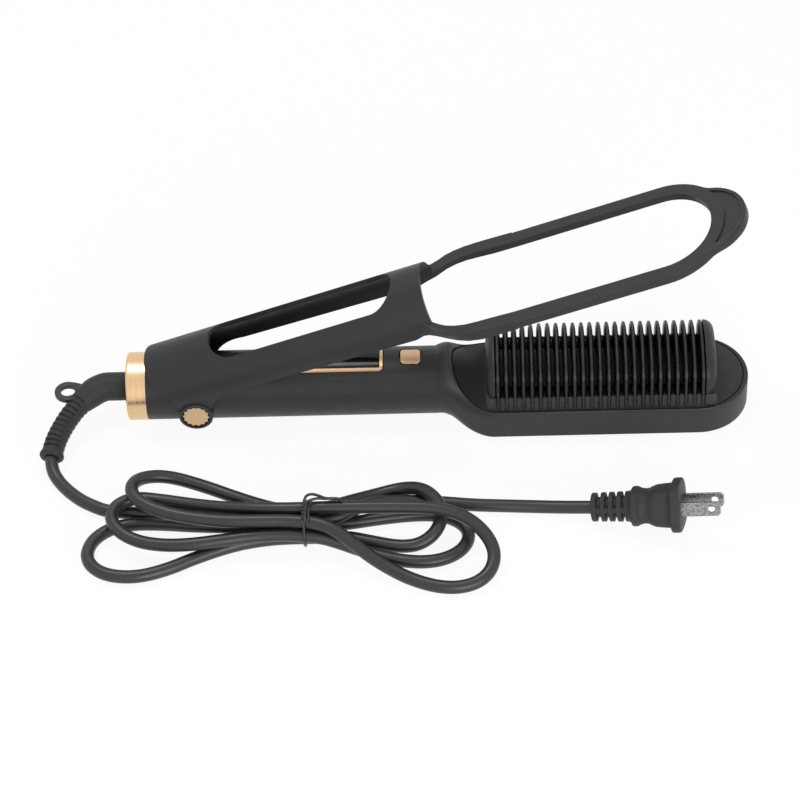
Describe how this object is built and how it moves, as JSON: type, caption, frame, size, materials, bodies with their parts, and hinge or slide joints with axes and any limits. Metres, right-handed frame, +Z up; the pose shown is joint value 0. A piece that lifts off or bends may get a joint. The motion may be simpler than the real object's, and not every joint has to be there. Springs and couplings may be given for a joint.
{
  "type": "hair straightening brush",
  "caption": "Corded hair straightening brush: round handle, flat head with a heated comb of arched teeth, and a sprung clamp arm with a long loop; its cord is tied in a hank.",
  "frame": {"origin": "on the table, under the middle of the brush's own length and width, the open clamp arm included and the cord, its relief, plug and tie left out", "axes": "+X along the handle from the cord end to the comb head; +Z up out of the comb, away from the table the brush lies on; +Y is then the far side in the picture"},
  "size_m": [0.3238, 0.1482, 0.1182],
  "materials": {
    "housing": "satin charcoal moulding",
    "comb_guard": "satin black moulding",
    "heater": "glossy black ceramic coat on die-cast aluminium",
    "ceramic": "pale grey ceramic heating stone",
    "plain_aluminium": "mill finish",
    "insulator": "brown heat-resistant board",
    "gold_metal": "fine brushed champagne gold",
    "gold_plastic": "champagne gold, satin",
    "lens": "polished black",
    "board": "green circuit board",
    "component": "black component case",
    "steel": "bright steel",
    "wire_cover": "heat-resistant wire cover",
    "cord": "satin charcoal cord cover",
    "tie": "black coated wire",
    "blade_metal": "bright nickel plate"
  },
  "bodies": {
    "handle": {"housing_front": "housing", "housing_back": "housing", "comb_cover": "comb_guard", "heater_comb": "heater", "ptc_heater": "ceramic", "pressure_plate": "plain_aluminium", "heater_bracket": "insulator", "thermal_fuse": "steel", "thermistor": "ceramic", "housing_screws": "steel", "end_ring": "gold_metal", "end_cap": "housing", "display_frame": "gold_plastic", "display_lens": "lens", "display_module": "component", "control_board": "board", "tact_switch": "component", "lead_wires": "wire_cover", "torsion_spring": "steel", "strain_relief": "cord", "cord_lead": "cord", "cord_hank": "cord", "cord_tail": "cord", "plug_body": "cord", "plug_blades": "blade_metal", "twist_tie": "tie"},
    "press_arm": {"arm_shell": "housing", "hinge_pin": "steel", "pivot_cap_near": "gold_metal", "pivot_cap_far": "gold_metal"},
    "button": {"power_button": "gold_plastic"}
  },
  "joints": [
    {"name": "arm_hinge", "type": "hinge", "parent": "handle", "child": "press_arm", "pos_m": [-0.11067, 0, 0.01325], "axis": [0, 1, 0], "range_deg": [0, 20.8], "stiffness_Nm_per_rad": 0.3, "springref_deg": -34.38},
    {"name": "button_press", "type": "slide", "parent": "handle", "child": "button", "axis": [0, 0, -1], "range_m": [0, 0.0006], "stiffness_N_per_m": 300}
  ]
}
